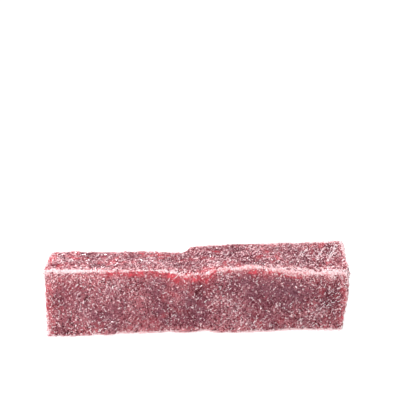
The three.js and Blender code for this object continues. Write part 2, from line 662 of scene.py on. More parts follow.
@dataclass(frozen=True)
class PasteFinish:
    """Fruit paste: dark red and slightly see-through, coral painted where light comes through
    at the edges, under a film of the finest sugar that turns mauve where it lies as a haze.

    The mesh says at each vertex how much painted glow and wet red it has, how much it blushes
    (near the edges a painted glow too), is hazy, has a thin film or belongs to a knife cut.

    Attributes:
        haze_thickness: How much more film lies in the haze.
        roughness: Where the paste is bare, and where the film covers it by rough_from or more.
        light_share: Share of the light that goes under the surface.
        light_reach: How far red, green and blue light go there, as shares of light_depth.
        pores: Size and number of finer layers of the noise, as knife_marks has.
        knife_stretch: Scale of the marks' noise along each axis; the less, the longer they are.
    """

    deep: Colour = (0.065, 0.003, 0.009, 1)
    # Painted glow: bright red painted where light would come through the thin paste.
    painted_glow_red: Colour = (0.76, 0.1, 0.13, 1)
    film: Colour = (0.28, 0.077, 0.108, 1)
    # Pink film where the paste blushes: near the edges a painted glow, elsewhere real pink.
    film_blush_and_glow: Colour = (0.8, 0.26, 0.29, 1)
    haze: Colour = (0.235, 0.092, 0.122, 1)
    cut: Colour = (0.04, 0.004, 0.01, 1)
    # Painted glow of the knife cuts near their edges.
    cut_painted_glow_red: Colour = (0.42, 0.014, 0.04, 1)
    cut_film: Colour = (0.16, 0.06, 0.084, 1)
    # Mottling of the painted glow.
    painted_glow_mottling: Mottling = Mottling(0.55, 3, 0.36, 0.62, (0.5, 1))
    film_clouds: Mottling = Mottling(6.0, 2, 0.32, 0.68, (0.72, 0.88))
    film_grain: Mottling = Mottling(0.42, 3, 0.44, 0.53, (0.05, 1))
    cut_dusting: Mottling = Mottling(2.6, 5, 0.35, 0.7, (0.08, 0.65))
    haze_thickness: float = 0.4
    roughness: Pair = (0.45, 0.85)
    rough_from: float = 0.6
    shine: float = 0.15
    light_share: float = 0.2
    light_reach: Place = (1.0, 0.22, 0.16)
    light_depth: float = 0.7
    pores: Pair = (0.35, 3)
    knife_marks: Pair = (0.3, 4)
    knife_stretch: Place = (1, 1, 0.1)
    relief_height: float = 0.12
    relief_strength: float = 0.8

    def covering(self, wiring: Wiring) -> Socket:
        """How thickly the film lies: clouds times grain, more in the haze and less where it is
        thin, and a light dusting on the cuts.

        Args:
            wiring: Where the nodes go.

        Returns:
            Share of the paste that the film hides.
        """
        grain, clouds = self.film_grain.wire(wiring), self.film_clouds.wire(wiring)
        film = wiring.maths("MULTIPLY", grain, clouds)
        hazy = wiring.maths("MULTIPLY_ADD", wiring.attribute("haze"), self.haze_thickness, film)
        coated = wiring.maths("SUBTRACT", hazy, wiring.attribute("thin"))
        return wiring.ramp(wiring.attribute("cut"), 0, 1, (coated, self.cut_dusting.wire(wiring)))

    def colour(self, wiring: Wiring, covered: Socket) -> Socket:
        """Paste colour and painted glow where it is bare, and the film's where it is covered.

        Args:
            wiring: Where the nodes go.
            covered: Share of the paste that the film hides.

        Returns:
            The colour.
        """
        cut = wiring.attribute("cut")
        # Painted glow: bright red painted where light would come through, mottled, darker on the
        # cuts.
        glow = wiring.maths("MULTIPLY", wiring.attribute("glow"), self.painted_glow_mottling.wire(wiring))
        lit = wiring.blend(cut, self.painted_glow_red, self.cut_painted_glow_red)
        flesh = wiring.blend(glow, wiring.blend(cut, self.deep, self.cut), lit)
        # Pinker film where it blushes: near the edges a painted glow, elsewhere real pink.
        film = wiring.blend(wiring.attribute("blush_and_edge_glow"), self.film, self.film_blush_and_glow)
        film = wiring.blend(wiring.attribute("haze"), film, self.haze)
        return wiring.blend(covered, flesh, wiring.blend(cut, film, self.cut_film))

    def relief(self, wiring: Wiring) -> Socket:
        """Normal of fine pores, and of faint upright knife marks on the cuts.

        Args:
            wiring: Where the nodes go.

        Returns:
            The normal.
        """
        stretched = {0: wiring.place(), 1: self.knife_stretch}
        along_cut = wiring.add("ShaderNodeVectorMath", stretched, operation="MULTIPLY").outputs[0]
        heights = (wiring.noise(*self.pores), wiring.noise(*self.knife_marks, along_cut))
        inputs = {
            "Strength": self.relief_strength,
            "Distance": self.relief_height * MM,
            "Height": wiring.ramp(wiring.attribute("cut"), 0, 1, heights),
        }
        return wiring.add("ShaderNodeBump", inputs).outputs["Normal"]

    def material(self) -> bpy.types.Material:
        """Builds the node material.

        Returns:
            The material.
        """
        wiring = MaterialWiring("fruit_paste")
        covered = self.covering(wiring)
        return wiring.finish(
            {
                "Base Color": self.colour(wiring, covered),
                "Roughness": wiring.ramp(covered, 0, self.rough_from, self.roughness),
                "Normal": self.relief(wiring),
                "Specular IOR Level": self.shine,
                "Subsurface Weight": self.light_share,
                "Subsurface Radius": self.light_reach,
                "Subsurface Scale": self.light_depth * MM,
            }
        )


# A grain's tint and its place's paleness add up. To the first sum it is stained, from the
# second it is clean.
STAINED_TINT = 0.2
CLEAN_TINT = 0.95


def juice_stain() -> bpy.types.NodeTree:
    """Shader group for a grain's colour: stained by juice, pinker where the paste blushes (near
    the edges a painted glow), and clean by the grain's own tint and by how pale all grains are
    at its place.

    Returns:
        The group, made on the first call.
    """
    name = "juice_stain"
    if name in bpy.data.node_groups:
        return bpy.data.node_groups[name]
    group = bpy.data.node_groups.new(name, "ShaderNodeTree")
    for label in ("Stained", "Blushing", "Clean"):
        group.interface.new_socket(label, in_out="INPUT", socket_type="NodeSocketColor")
    group.interface.new_socket("Color", in_out="OUTPUT", socket_type="NodeSocketColor")
    wiring = Wiring(group)
    given = wiring.add("NodeGroupInput").outputs
    # Pinker grains where the paste blushes: near the edges a painted glow.
    juice = wiring.blend(wiring.attribute("blush_and_edge_glow"), given["Stained"], given["Blushing"])
    tint = wiring.maths("ADD", wiring.attribute("tint"), wiring.attribute("pale"))
    clean = wiring.ramp(tint, STAINED_TINT, CLEAN_TINT)
    wiring.add("NodeGroupOutput", {"Color": wiring.blend(clean, juice, given["Clean"])})
    return group


@dataclass(frozen=True)
class SugarFinish:
    """One kind of sugar grain, from stained by juice to clean."""

    name: str
    stained: Colour
    # Colour where the paste blushes: near the edges a painted glow, elsewhere real pink.
    blushing: Colour
    clean: Colour
    roughness: float
    shine: float = 0.5
    clearness: float = 0.0
    ior: float = 1.54

    def material(self) -> bpy.types.Material:
        """Builds the node material.

        Returns:
            The material.
        """
        wiring = MaterialWiring(self.name)
        colours = {"Stained": self.stained, "Blushing": self.blushing, "Clean": self.clean}
        stain = wiring.add("ShaderNodeGroup", colours, node_tree=juice_stain())
        return wiring.finish(
            {
                "Base Color": stain.outputs["Color"],
                "Roughness": self.roughness,
                "Specular IOR Level": self.shine,
                "IOR": self.ior,
                "Transmission Weight": self.clearness,
            }
        )


def chip() -> tuple[Array, Array]:
    """A tetrahedron on every other corner of a cube."""
    points = 0.5 * np.array([[1, 1, 1], [1, -1, -1], [-1, 1, -1], [-1, -1, 1]])
    return points, np.array([[0, 1, 2], [0, 3, 1], [0, 2, 3], [1, 3, 2]])


def splinter() -> tuple[Array, Array]:
    """An octahedron, with two corners on each axis.

    Returns:
        Vertices and faces.
    """
    axes = [[1, 0, 0], [-1, 0, 0], [0, 1, 0], [0, -1, 0], [0, 0, 1], [0, 0, -1]]
    upper = [[0, 2, 4], [2, 1, 4], [1, 3, 4], [3, 0, 4]]
    lower = [[2, 0, 5], [1, 2, 5], [3, 1, 5], [0, 3, 5]]
    return 0.5 * np.array(axes), np.array(upper + lower)


def block(slant: float = 0.25) -> tuple[Array, Array]:
    """A cube sheared to the slant of a sugar crystal: x moves by the slant times z.

    Args:
        slant: How far x moves for each unit of z.

    Returns:
        Vertices and faces.
    """
    points = 0.5 * np.array(list(product((-1, 1), repeat=3)))
    points[:, 0] += slant * points[:, 2]
    ends = [[0, 1, 3, 2], [4, 6, 7, 5]]
    long_sides = [[0, 4, 5, 1], [2, 3, 7, 6], [0, 2, 6, 4], [1, 5, 7, 3]]
    return points, np.array(ends + long_sides)


def prism(height: float = 0.84, slant: float = 0.3) -> tuple[Array, Array]:
    """A prism along x with a flattened hexagon for its section and slanted ends.

    Args:
        height: Height of the section: 1 for an even hexagon, less for a flattened one.
        slant: How far the ends move along x for each unit of z.

    Returns:
        Vertices and faces.
    """
    angles = np.arange(6) * math.pi / 3
    y, z = 0.5 * np.cos(angles), 0.5 * height * np.sin(angles)
    left, right = (np.stack([slant * z + end, y, z], 1) for end in (-0.5, 0.5))
    sides = [[k, k + 6, (k + 1) % 6 + 6, (k + 1) % 6] for k in range(6)]
    ends = [[0, 1, 2, 3], [0, 3, 4, 5], [9, 8, 7, 6], [11, 10, 9, 6]]
    return np.concatenate([left, right]), np.array(sides + ends)


class GrainForm(Enum):
    """The forms that grains come in, each one unit long."""

    CHIP = "chip"
    SPLINTER = "splinter"
    BLOCK = "block"
    PRISM = "prism"

    def template(self) -> tuple[Array, Array]:
        """Makes one grain of this form.

        Returns:
            Vertices and faces.
        """
        makers = {
            GrainForm.CHIP: chip,
            GrainForm.SPLINTER: splinter,
            GrainForm.BLOCK: block,
            GrainForm.PRISM: prism,
        }
        return makers[self]()


class Lie(Enum):
    """Where a kind of grain lies: all over, in streaks, or along the edges."""

    COAT = "coat"
    STREAK = "streak"
    CRUST = "crust"


@dataclass(frozen=True)
class Grains:
    """One kind of scattered grain, made as one mesh.

    Attributes:
        name: The piece's name.
        form: Form of each grain.
        lie: Where the grains lie.
        count: How many there are.
        length: Shortest and longest grain.
        slimness: Width and thickness as shares of the length, from and to.
        tilt: How far a grain's long side may lean off the surface, as a share of its length.
        lift: Height of a grain's middle over the paste, as a share of its length.
        tint_power: How rare clean grains are: 1 for an even spread, more for fewer.
        seed: Start of its random draws.
        finish: Its material.
        heading: Direction that the grains tend to lie along; the longer, the more they do.
        short_power: How rare long grains are: 1 for an even spread, more for fewer.
        raggedness: How far each corner strays, as a share of the grain's size.
    """

    name: str
    form: GrainForm
    lie: Lie
    count: int
    length: Pair
    slimness: Pair
    tilt: float
    lift: float
    tint_power: float
    seed: int
    finish: SugarFinish
    heading: Place = (0.0, 0.0, 0.0)
    short_power: float = 1.6
    raggedness: float = 0.05

    def spots(
        self, surface: Surface, density: Array, rng: np.random.Generator
    ) -> tuple[Array, Array, Array]:
        """Random places on the surface, as many a square millimetre as the density asks.

        The faces are laid end to end, each as long as its area times its density. One place
        is drawn from each equal stretch of that line, so that places don't bunch.

        Args:
            surface: The paste.
            density: Relative number of grains at each vertex.
            rng: The random draws.

        Returns:
            The places, the outward directions there, and the triangle that each lies in.
        """
        corners = surface.triangles()
        a, b, c = (surface.points[corners[:, k]] for k in range(3))
        area = np.linalg.norm(np.cross(b - a, c - a), axis=1) / 2
        line = np.cumsum(area * density[corners].mean(1))
        picks = (np.arange(self.count) + rng.random(self.count)) / self.count * line[-1]
        chosen = np.minimum(np.searchsorted(line, picks), len(corners) - 1)
        u, v = rng.random((2, self.count))
        over = u + v > 1
        u, v = np.where(over, 1 - u, u)[:, None], np.where(over, 1 - v, v)[:, None]
        places = a[chosen] + u * (b - a)[chosen] + v * (c - a)[chosen]
        normals = surface.normals()[corners[chosen]].mean(1)
        return places, unit(normals), corners[chosen]

    def build(
        self, surface: Surface, density: Array, traits: dict[str, Array]
    ) -> bpy.types.Object:
        """Makes all grains: the form, stretched, turned and set on its place.

        Args:
            surface: The paste.
            density: Relative number of grains at each vertex.
            traits: Numbers at each vertex that the finish reads, by name.

        Returns:
            The finished piece.
        """
        rng = np.random.default_rng(self.seed)
        places, normals, triangle = self.spots(surface, density, rng)
        template, faces = self.form.template()
        count = self.count

        length = mix(*self.length, rng.random(count) ** self.short_power)
        slim = rng.uniform(*self.slimness, (count, 2))
        sizes = length[:, None] * np.column_stack([np.ones(count), slim])

        loose = rng.normal(size=(count, 3)) + self.heading
        flat = unit(loose - normals * np.sum(loose * normals, 1, keepdims=True))
        along = unit(flat + normals * rng.normal(scale=self.tilt, size=(count, 1)))
        across = unit(np.cross(along, rng.normal(size=(count, 3))))
        turned = np.stack([along, across, np.cross(along, across)], 1)

        uneven = template + rng.normal(scale=self.raggedness, size=(count, *template.shape))
        local = uneven * sizes[:, None, :]
        centres = places + normals * (self.lift * length)[:, None]
        points = centres[:, None, :] + np.einsum("nvk,nkc->nvc", local, turned)
        points = points.reshape(-1, 3)
        points[:, 2] = np.maximum(points[:, 2], 0)

        corners = len(template)
        all_faces = faces[None] + corners * np.arange(count)[:, None, None]
        all_faces = all_faces.reshape(-1, faces.shape[1])
        values = {"tint": np.repeat(rng.random(count) ** self.tint_power, corners)}
        for key, numbers in traits.items():
            values[key] = np.repeat(numbers[triangle].mean(1), corners)
        piece = add_mesh(self.name, points, all_faces, values, False)
        piece.data.materials.append(self.finish.material())
        return piece


class Side(Enum):
    """The long sides that can hold a drift, by the axes of its two numbers and what it faces."""

    FRONT = ((0, 2), (0, -1, 0))
    TOP = ((0, 1), (0, 0, 1))


@dataclass(frozen=True)
class Drift:
    """A patch or streak of sugar on one side: a bell of the distance to a straight line."""

    side: Side
    start: Pair
    end: Pair
    reach: float
    amount: float = 1.0
    facing: Pair = (0.5, 0.8)

    def at(self, bar: Surface) -> Array:
        """The drift's bell, times a smooth step of how far the surface faces its side.

        Args:
            bar: The paste.

        Returns:
            Amount at each vertex.
        """
        axes, outward = self.side.value
        line = np.subtract(self.end, self.start)
        offset = bar.plain[:, axes] - self.start
        along = np.clip(offset @ line / (line @ line), 0, 1)
        distance = np.linalg.norm(offset - along[:, None] * line, axis=1)
        on_side = smoothstep(bar.outward @ outward, *self.facing)
        return self.amount * bell(distance, self.reach) * on_side


@dataclass
class Zones:
    """Zones of the bar, each as a number from 0 to 1 at each vertex of its surface.

    A zone sets in by a smooth step between two numbers. For the sides these are parts of the
    unit outward direction, and for the halves and the ends distances from the middle.

    Attributes:
        rim_sink: How far below the top edge the middle of the rim's crust lies on the front,
            at the left and at the right.
        rim_rises: Where it lies higher.
        sugared_reach: How far down the front fallen sugar lies under the rim.
    """

    shape: BarShape
    bar: Surface
    cut_facing: Pair = (0.6, 0.95)
    front_facing: Pair = (0.3, 0.7)
    top_facing: Pair = (0.5, 0.9)
    left_part: Pair = (5.0, 34.0)
    right_part: Pair = (10.0, 25.0)
    left_end: Pair = (17.0, 30.0)
    right_end: Pair = (20.0, 31.0)
    right_end_share: float = 0.6
    rim_sink: Pair = (0.3, 1.0)
    rim_rises: tuple[Stretch, ...] = (
        Stretch(-9.0, 0.38, 5.0),
        Stretch(-3.0, -0.45, 1.3),
        Stretch(0.8, 0.35, 1.6),
        Stretch(13.0, 0.45, 4.5),
    )
    sugared_reach: float = 3.3

    def gathered(self, drifts: tuple[Drift, ...]) -> Array:
        """Sum of a set of drifts."""
        return sum(drift.at(self.bar) for drift in drifts)

    def uneven(self, pattern: Unevenness) -> Array:
        """A pattern over the plain bar."""
        return pattern.over(self.bar.plain)

    def cut_ends(self) -> Array:
        """1 on the knife cuts at the ends."""
        return smoothstep(np.abs(self.bar.outward[:, 0]), *self.cut_facing)

    def on_front(self) -> Array:
        """1 on the front face and the lower half of its rounded top edge."""
        return smoothstep(-self.bar.outward[:, 1], *self.front_facing)

    def on_top(self) -> Array:
        """1 on the top face."""
        return smoothstep(self.bar.outward[:, 2], *self.top_facing)

    def leftward(self) -> Array:
        """0 in the middle, 1 at the left end."""
        return smoothstep(-self.bar.plain[:, 0], *self.left_part)

    def rightward(self) -> Array:
        """0 on the left, 1 where the front rim is worn."""
        return smoothstep(self.bar.plain[:, 0], *self.right_part)

    def near_ends(self) -> Array:
        """0 in the middle, 1 towards the left end and less towards the right one.

        Returns:
            Share at each vertex.
        """
        x = self.bar.plain[:, 0]
        at_right = self.right_end_share * smoothstep(x, *self.right_end)
        return smoothstep(-x, *self.left_end) + at_right

    def below_rim(self) -> Array:
        """How far down the front face from the middle of the rim's crust, less than 0 above it.

        From the front top edge it is the way down less the way back. The crust's middle lies
        lower on the front face towards the right, where the edge is worn.

        Returns:
            Distance of each vertex.
        """
        x, y, z = self.bar.plain.T
        round_edge = (self.shape.height - z) - (self.shape.depth / 2 + y)
        rise = sum(place.at(x) for place in self.rim_rises)
        return round_edge - mix(*self.rim_sink, self.rightward()) + rise

    def sugared_rim(self) -> Array:
        """1 just under the front rim near both ends, where more sugar has come off the crust."""
        return self.near_ends() * bell(self.below_rim(), self.sugared_reach) * self.on_front()


@dataclass
class PasteFields(Zones):
    """What the paste's finish reads: its painted glow, where it blushes and has its film.

    Attributes:
        band_start: Height of the crust's lower half, from which the bare band begins.
        band_reach: How far down the band fades, where it is weak and where it is strong.
        band_share: Strength of the band away from its middle.
        band_end_loss: Share of it that is lost near the ends.
        upright_glow: Start and reach, from the end, of the painted glow at the upright edges.
        low_glow: Start and reach, from the table, of the painted glow at the low edges.
        cut_glow: Start and reach, from the edges, of the painted glow on the cuts.
        low_shares: Strength of the low painted glow at the right, and at the left past low_left.
        edge_shares: Strength of the edges' painted glow at the left and at the right.
        wet_shares: Strength of the wet places on the sides and on the top.
        thin_top: How much film the top lacks, at the right and at the left.
    """

    band_start: float = 0.4
    band_reach: Pair = (0.3, 1.0)
    band_share: float = 0.75
    band_middle: Stretch = Stretch(-11.0, 0.25, 12.0)
    band_end_loss: float = 0.8
    band_waver: Unevenness = Unevenness(0.0, ((0.5, 2.1, 7),))
    band_rags: Unevenness = Unevenness(0.85, ((0.7, 1.0, 5), (0.4, 0.45, 6)), 0.0, 1.0)
    bare_spots: tuple[Drift, ...] = (
        Drift(Side.FRONT, (-4.6, 15.0), (-1.4, 15.1), 1.15, 0.8),
        Drift(Side.FRONT, (-0.6, 15.2), (2.2, 15.2), 0.75, 0.6),
        Drift(Side.FRONT, (2.2, 12.8), (3.4, 14.6), 0.9, 0.3),
        Drift(Side.FRONT, (-15.0, 16.1), (-5.0, 15.7), 0.75, 0.95),
        Drift(Side.FRONT, (-21.0, 15.9), (-17.0, 16.0), 0.5, 0.5),
        Drift(Side.FRONT, (11.0, 15.7), (24.0, 14.9), 0.6, 0.75),
        Drift(Side.TOP, (-8.5, 4.2), (-5.0, 3.0), 0.9, 0.6),
        Drift(Side.TOP, (-4.4, 0.6), (-1.6, 1.6), 0.8, 0.7),
        Drift(Side.TOP, (2.6, 3.4), (5.6, 2.2), 0.7, 0.5),
    )
    soaked: tuple[Drift, ...] = (
        Drift(Side.FRONT, (0.2, 11.4), (0.8, 14.4), 1.1, 0.9),
        Drift(Side.FRONT, (-31.5, 2.2), (-28.5, 1.0), 1.3, 0.5),
        Drift(Side.FRONT, (21.0, 5.0), (23.5, 3.2), 1.2, 0.45),
        Drift(Side.FRONT, (29.0, 8.5), (31.0, 6.8), 1.2, 0.4),
        Drift(Side.FRONT, (-27.0, 8.6), (-25.6, 9.4), 0.6, 0.5),
    )
    hazes: tuple[Drift, ...] = (
        Drift(Side.FRONT, (16.5, 12.2), (22.5, 11.0), 2.9),
        Drift(Side.FRONT, (-30.5, 12.0), (-29.0, 10.5), 1.9, 0.8),
        Drift(Side.FRONT, (-27.5, 7.5), (-25.0, 5.5), 1.8, 0.8),
        Drift(Side.FRONT, (-12.0, 12.0), (-8.0, 13.0), 1.6, 0.6),
        Drift(Side.FRONT, (11.0, 12.5), (12.5, 9.5), 1.4, 0.7),
    )
    drifts: tuple[Drift, ...] = (
        Drift(Side.FRONT, (5.0, 9.0), (9.5, 5.0), 2.6, 0.7),
        Drift(Side.FRONT, (9.5, 3.0), (14.5, 1.5), 1.2, 0.6),
        Drift(Side.FRONT, (-27.0, 4.0), (-20.0, 3.0), 1.8, 0.5),
        Drift(Side.FRONT, (-20.5, 12.5), (-17.0, 14.5), 1.4, 0.9),
        Drift(Side.FRONT, (-15.0, 11.0), (-10.0, 13.5), 1.6, 0.5),
        Drift(Side.FRONT, (26.5, 4.0), (30.0, 6.0), 1.4, 0.5),
        Drift(Side.FRONT, (5.0, 14.4), (10.0, 15.6), 1.3, 0.7),
        Drift(Side.TOP, (2.5, -3.5), (6.0, -1.5), 1.6, 0.7),
        Drift(Side.TOP, (-12.0, 0.0), (-7.0, -1.5), 1.8, 0.5),
        Drift(Side.TOP, (13.0, 1.0), (20.0, -1.5), 2.0, 0.5),
    )
    # Reaches of the painted glow at the upright edges, the low edges and round the cuts.
    upright_glow: Pair = (0.2, 1.3)
    low_glow: Pair = (0.2, 0.6)
    cut_glow: Pair = (0.5, 1.5)
    low_left: Pair = (12.0, 26.0)
    low_shares: Pair = (0.15, 0.5)
    edge_shares: Pair = (0.75, 0.5)
    edge_rags: Unevenness = Unevenness(0.7, ((0.8, 1.7, 17),), 0.0, 1.0)
    wet_pattern: Unevenness = Unevenness(0.0, ((1.0, 1.6, 83), (0.6, 0.7, 84), (0.5, 6.0, 85)))
    wet_step: Pair = (0.0, 0.9)
    wet_shares: Pair = (0.34, 0.8)
    # Film missing at the painted glow, and where the paste is soaked.
    thin_glow: float = 0.85
    thin_soaked: float = 0.6
    thin_top: Pair = (0.5, 0.7)
    thin_right: float = 0.08
    haze_pattern: Unevenness = Unevenness(0.0, ((1.0, 5.0, 71), (0.6, 1.3, 72)))
    haze_step: Pair = (0.05, 0.7)
    haze_share: float = 0.62
    blush_pattern: Unevenness = Unevenness(0.2, ((0.42, 4.5, 61), (0.35, 1.2, 62)))
    # Reach of the painted pink glow near the edges, which blush_foot keeps off the table.
    edge_glow_reach: float = 1.7
    blush_foot: Pair = (-2.0, 4.0)
    blush_drifts: float = 0.15
    blush_wet: float = 0.5
    blush_rim: float = 0.8

    def bare_band(self) -> Array:
        """Bare paste under the rim's crust, fading down the front face by a bell.

        Returns:
            How bare the paste is at each vertex.
        """
        middle = self.band_share + self.band_middle.at(self.bar.plain[:, 0])
        around = middle * (1 - self.band_end_loss * self.near_ends())
        reach = mix(*self.band_reach, around) + self.uneven(self.band_waver)
        under_crust = smoothstep(self.below_rim(), 0.0, self.band_start)
        band = fading(self.below_rim(), self.band_start, reach) * around * under_crust
        bare = band * self.on_front() + self.gathered(self.bare_spots)
        return np.clip(bare, 0, 1) * self.uneven(self.band_rags)

    def wet(self) -> Array:
        """Small places where the film has soaked up juice and the red shows, most on the top."""
        spots = smoothstep(self.uneven(self.wet_pattern), *self.wet_step)
        return mix(*self.wet_shares, self.on_top()) * spots * (1 - self.cut_ends())

    def glow(self) -> Array:
        """Painted glow under the bare band and at the upright and low edges, and wet places' red.

        Returns:
            How much painted glow and wet red each vertex has.
        """
        x, _, z = self.bar.plain.T
        to_end = self.shape.length / 2 - np.abs(x)
        # Painted glow along the upright and low edges and round the cuts, as if lit through.
        upright = fading(to_end, *self.upright_glow) * (1 - self.cut_ends())
        low = fading(z, *self.low_glow) * mix(*self.low_shares, smoothstep(-x, *self.low_left))
        around_cut = fading(self.bar.to_edge, *self.cut_glow) * self.cut_ends()
        edges = mix(*self.edge_shares, self.rightward()) * np.maximum(upright, low) + around_cut
        return np.clip(self.bare_band() + edges * self.uneven(self.edge_rags) + self.wet(), 0, 1)

    def thin(self) -> Array:
        """How much film is missing: most at the painted glow and wet places, and where soaked.

        Returns:
            Missing share of the film at each vertex.
        """
        bare = self.thin_glow * self.glow() + self.thin_soaked * self.gathered(self.soaked)
        bare += mix(*self.thin_top, self.leftward()) * self.on_top()
        return np.clip(bare + self.thin_right * self.rightward() * self.on_front(), 0, 1)

    def haze(self) -> Array:
        """1 where the finest sugar lies as a smooth mauve haze."""
        scattered = self.haze_share * smoothstep(self.uneven(self.haze_pattern), *self.haze_step)
        return np.clip(self.gathered(self.hazes) + scattered, 0, 1) * (1 - self.cut_ends())

    def blush_and_edge_glow(self) -> Array:
        """1 near the edges as a painted glow, real pink in spots, 0 in the faces' grey patches.

        Returns:
            How pink it is at each vertex, the painted edge glow included.
        """
        off_the_table = smoothstep(self.bar.plain[:, 2], *self.blush_foot)
        # Painted edge glow: pinker near every edge, kept off the table.
        edges = bell(self.bar.to_edge, self.edge_glow_reach) * off_the_table
        # Real pink: random patches, the drifts and the wet places.
        patches = self.uneven(self.blush_pattern) + self.blush_drifts * self.gathered(self.drifts)
        patches += self.blush_wet * self.wet()
        return np.clip(edges + self.blush_rim * self.sugared_rim() + patches, 0, 1)


@dataclass
class CoatFields(PasteFields):
    """Where the grains of the coat and of the streaks lie, and how clean all grains are.

    Attributes:
        pale_top: How much whiter grains are on the top, at the left and at the right.
        pale_edges: The same along the edges, and pale_foot by the table.
        clump_sides: Mean of the clumps on the sides, and how much fine noise changes it.
        clump_top: The same on the top. The second number grows to clump_top_left at the left.
        cut_share: Share of the coat that lies on the cut ends.
        coat_haze_loss: Share of it that is missing in the haze, and so on for what is bare or
            soaked, up to coat_most_loss.
    """

    streaks: tuple[Drift, ...] = (
        Drift(Side.TOP, (28.0, -1.6), (30.6, 3.6), 0.2, 35),
        Drift(Side.TOP, (30.4, -2.2), (33.6, 4.4), 0.2, 50),
        Drift(Side.TOP, (24.5, 0.2), (26.6, 3.2), 0.22, 25),
        Drift(Side.FRONT, (9.0, 1.0), (14.5, 2.4), 1.2, 3),
        Drift(Side.FRONT, (4.5, 9.0), (10.5, 6.0), 2.0, 2.5),
        Drift(Side.FRONT, (25.0, 2.5), (32.0, 8.4), 2.4, 3),
    )
    stray_needles: float = 0.15
    pale_drifts: float = 0.4
    pale_left: float = 0.08
    pale_top: Pair = (0.12, 0.24)
    pale_edges: Pair = (0.35, 0.43)
    pale_edge_reach: float = 0.8
    pale_sugared: float = 0.4
    pale_foot: Pair = (0.25, 0.55)
    pale_foot_reach: float = 1.0
    pale_rim: float = 0.1
    pale_rim_reach: float = 1.6
    pale_wet: float = 0.4
    clump_clouds: Unevenness = Unevenness(0.85, ((0.15, 5.5, 23),))
    clump_noise: Unevenness = Unevenness(0.0, ((1.0, 0.65, 31),))
    clump_sides: Pair = (0.8, 0.6)
    clump_top: Pair = (0.9, 0.15)
    clump_top_left: float = 0.6
    clump_least: float = 0.08
    coat_drifts: float = 0.25
    coat_sugared: float = 0.4
    cut_share: float = 0.12
    cut_bunches: Unevenness = Unevenness(1.0, ((2.2, 2.2, 41),), 0.15)
    coat_haze_loss: float = 0.4
    coat_bare_loss: float = 0.8
    coat_soaked_loss: float = 0.4
    coat_most_loss: float = 0.9

    def pale(self) -> Array:
        """How much whiter the grains are in the drifts, on the top and towards the left end.

        Returns:
            What is added to the tint of the grains at each vertex.
        """
        leftward = self.leftward() * (1 - self.cut_ends())
        rightward = self.rightward()
        share = self.pale_drifts * self.gathered(self.drifts) + self.pale_left * leftward
        share += mix(*self.pale_top, rightward) * self.on_top()
        share += mix(*self.pale_edges, rightward) * bell(self.bar.to_edge, self.pale_edge_reach)
        share += self.pale_sugared * self.sugared_rim()
        share += mix(*self.pale_foot, rightward) * bell(self.bar.plain[:, 2], self.pale_foot_reach)
        share += self.pale_rim * rightward * bell(self.below_rim(), self.pale_rim_reach)
        return np.clip(share - self.pale_wet * self.wet(), -self.pale_wet, 1)

    def clumps(self) -> Array:
        """Clumps and gaps in the coat: clouds times fine noise, which is weaker on the top.

        Returns:
            Relative number of grains at each vertex.
        """
        noise = self.uneven(self.clump_noise)
        on_sides = self.clump_sides[0] + self.clump_sides[1] * noise
        top_spread = mix(self.clump_top[1], self.clump_top_left, self.leftward())
        on_top = self.clump_top[0] + top_spread * noise
        clumps = self.uneven(self.clump_clouds) * mix(on_sides, on_top, self.on_top())
        return np.clip(clumps, self.clump_least, None)

    def coat(self) -> Array:
        """The usual coat: clumps on the long faces, little on the cut ends and the bare band.

        Returns:
            Relative number of grains at each vertex.
        """
        thick = self.clumps() + self.coat_drifts * self.gathered(self.drifts)
        thick += self.coat_sugared * self.sugared_rim()
        side = mix(1, self.cut_share * self.uneven(self.cut_bunches), self.cut_ends())
        bare = self.coat_bare_loss * self.bare_band()
        bare += self.coat_soaked_loss * self.gathered(self.soaked)
        clear = 1 - np.clip(bare, 0, self.coat_most_loss)
        return thick * side * (1 - self.coat_haze_loss * self.haze()) * clear

    def streaky(self) -> Array:
        """Where needles lie: in the streaks, and a few all over."""
        return self.stray_needles + self.gathered(self.streaks)


